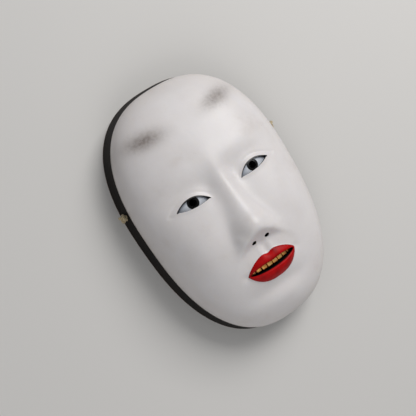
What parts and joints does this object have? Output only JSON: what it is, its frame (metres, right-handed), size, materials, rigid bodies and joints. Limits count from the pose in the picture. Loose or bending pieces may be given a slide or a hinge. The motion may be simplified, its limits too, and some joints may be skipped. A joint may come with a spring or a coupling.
{
  "type": "noh mask",
  "caption": "Carved wooden theatre mask of a calm face with a white ground, red lips, gilt teeth, dark lacquered sides and a hanging cord tied through the side walls.",
  "frame": {"origin": "middle of the back rim, in the plane the rim rests on", "axes": "+X across the face toward the viewer's right when the face is upright, +Y from chin to forehead, +Z out of the face"},
  "size_m": [0.1476, 0.212, 0.0688],
  "materials": {
    "cypress_wood": "planed bare wood",
    "gofun_white": "burnished shell white, soft sheen",
    "side_lacquer": "dark brown-black lacquer, worn satin",
    "back_lacquer": "dark lacquer over chisel marks",
    "lip_red": "red pigment, satin",
    "eye_white": "painted, shaded to the corners",
    "gilt": "gilt, burnished",
    "cord_cotton": "braided cotton cord"
  },
  "bodies": {
    "root": {"wood_core": "cypress_wood", "gofun_face": "gofun_white", "side_lacquer": "side_lacquer", "back_lacquer": "back_lacquer", "upper_lip": "lip_red", "lower_lip": "lip_red", "left_eye": "eye_white", "right_eye": "eye_white", "gilt_teeth": "gilt", "cord": "cord_cotton", "left_knot": "cord_cotton", "right_knot": "cord_cotton"}
  },
  "joints": []
}
